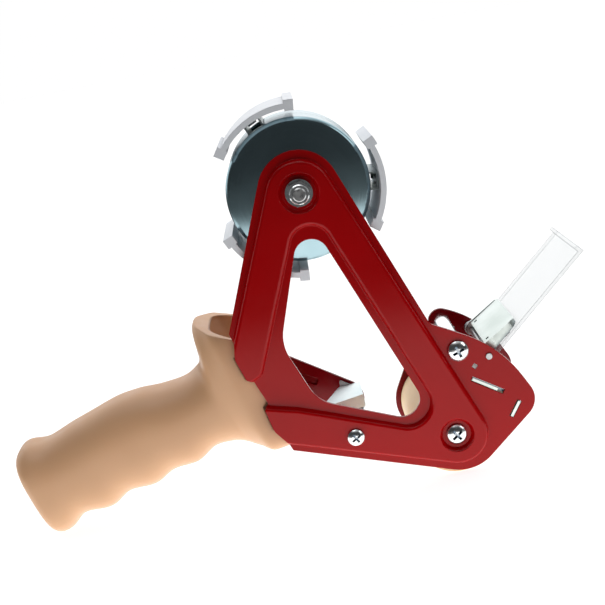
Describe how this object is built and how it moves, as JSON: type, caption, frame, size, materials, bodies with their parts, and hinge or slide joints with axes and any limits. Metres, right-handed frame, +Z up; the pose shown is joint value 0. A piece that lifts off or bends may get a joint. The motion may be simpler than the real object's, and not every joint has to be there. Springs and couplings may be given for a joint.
{
  "type": "tape gun dispenser",
  "caption": "Hand-held packing tape gun: red pressed side frame, sprung three-segment core hub, rubber pressure roller, clear wiper flap, serrated blade and hollow pistol handle.",
  "frame": {"origin": "bottom centre of the part's box; the part stands on its roller and the butt of its handle", "axes": "+X towards the roller and wiper flap, +Y from the side frame to the open loading side, +Z up"},
  "size_m": [0.2706, 0.0668, 0.1793],
  "materials": {
    "red_enamel": "gloss red stove enamel on pressed steel",
    "dark_enamel": "gloss red enamel, far plates",
    "tan_plastic": "satin moulded tan plastic",
    "zinc": "bright zinc plate",
    "screw_zinc": "bright zinc plated screws",
    "black_chrome": "dark polished plated dish",
    "grey_plastic": "pale grey blue moulded nylon",
    "clear_plastic": "clear polished plastic sheet",
    "gum_rubber": "tan gum rubber",
    "cream_plastic": "cream moulded plastic",
    "spring_steel": "bright spring wire",
    "blade_steel": "hardened strip steel",
    "axle_steel": "plain drawn steel tube",
    "felt": "dark pressed fibre washer"
  },
  "bodies": {
    "frame": {"side_frame": "red_enamel", "far_head_plate": "dark_enamel", "far_handle_plate": "dark_enamel", "handle_grip": "tan_plastic", "head_screws": "screw_zinc", "handle_screws": "screw_zinc", "spacer_tube": "axle_steel", "roller_axle": "axle_steel", "hub_bolt": "zinc", "hub_lock_nut": "zinc", "hub_washers": "zinc", "hub_sleeve": "axle_steel", "tie_bracket": "zinc", "blade_holder": "zinc", "cutting_blade": "blade_steel", "blade_rivets": "zinc", "wiper_pin": "axle_steel", "wiper_spring": "spring_steel", "friction_washer": "felt"},
    "hub": {"hub_core": "grey_plastic", "hub_dish_near": "black_chrome", "hub_dish_far": "black_chrome", "tension_spring": "spring_steel", "segment_spring_1": "spring_steel", "segment_spring_2": "spring_steel", "segment_spring_3": "spring_steel"},
    "segment_1": {"core_segment_1": "grey_plastic", "segment_clip_1": "zinc"},
    "segment_2": {"core_segment_2": "grey_plastic", "segment_clip_2": "zinc"},
    "segment_3": {"core_segment_3": "grey_plastic", "segment_clip_3": "zinc"},
    "roller": {"roller_core": "cream_plastic", "roller_tyre": "gum_rubber"},
    "wiper": {"wiper_flap": "clear_plastic", "wiper_bracket": "zinc", "wiper_rivets": "zinc"},
    "tape_guide": {"tape_guide": "zinc"}
  },
  "joints": [
    {"name": "hub_spin", "type": "hinge", "parent": "frame", "child": "hub", "pos_m": [0.01754, 0.0015, 0.13992], "axis": [0, 1, 0], "continuous": true},
    {"name": "roller_spin", "type": "hinge", "parent": "frame", "child": "roller", "pos_m": [0.0668, 0.0029, 0.01925], "axis": [0, 1, 0], "continuous": true},
    {"name": "wiper_hinge", "type": "hinge", "parent": "frame", "child": "wiper", "pos_m": [0.08668, 0.002, 0.05201], "axis": [0, -1, 0], "range_deg": [-12, 25], "stiffness_Nm_per_rad": 0.3, "deforming": ["wiper_spring"]},
    {"name": "guide_slide", "type": "slide", "parent": "frame", "child": "tape_guide", "axis": [0.8334, 0, -0.5526], "range_m": [0, 0.003]},
    {"name": "segment_1_press", "type": "slide", "parent": "hub", "child": "segment_1", "axis": [0.9958, 0, -0.0917], "range_m": [-0.002, 0], "stiffness_N_per_m": 600, "springref_m": 0.002, "deforming": ["segment_spring_1"]},
    {"name": "segment_2_press", "type": "slide", "parent": "hub", "child": "segment_2", "axis": [-0.4185, 0, 0.9082], "range_m": [-0.002, 0], "stiffness_N_per_m": 600, "springref_m": 0.002, "deforming": ["segment_spring_2"]},
    {"name": "segment_3_press", "type": "slide", "parent": "hub", "child": "segment_3", "axis": [-0.5773, 0, -0.8165], "range_m": [-0.002, 0], "stiffness_N_per_m": 600, "springref_m": 0.002, "deforming": ["segment_spring_3"]}
  ]
}
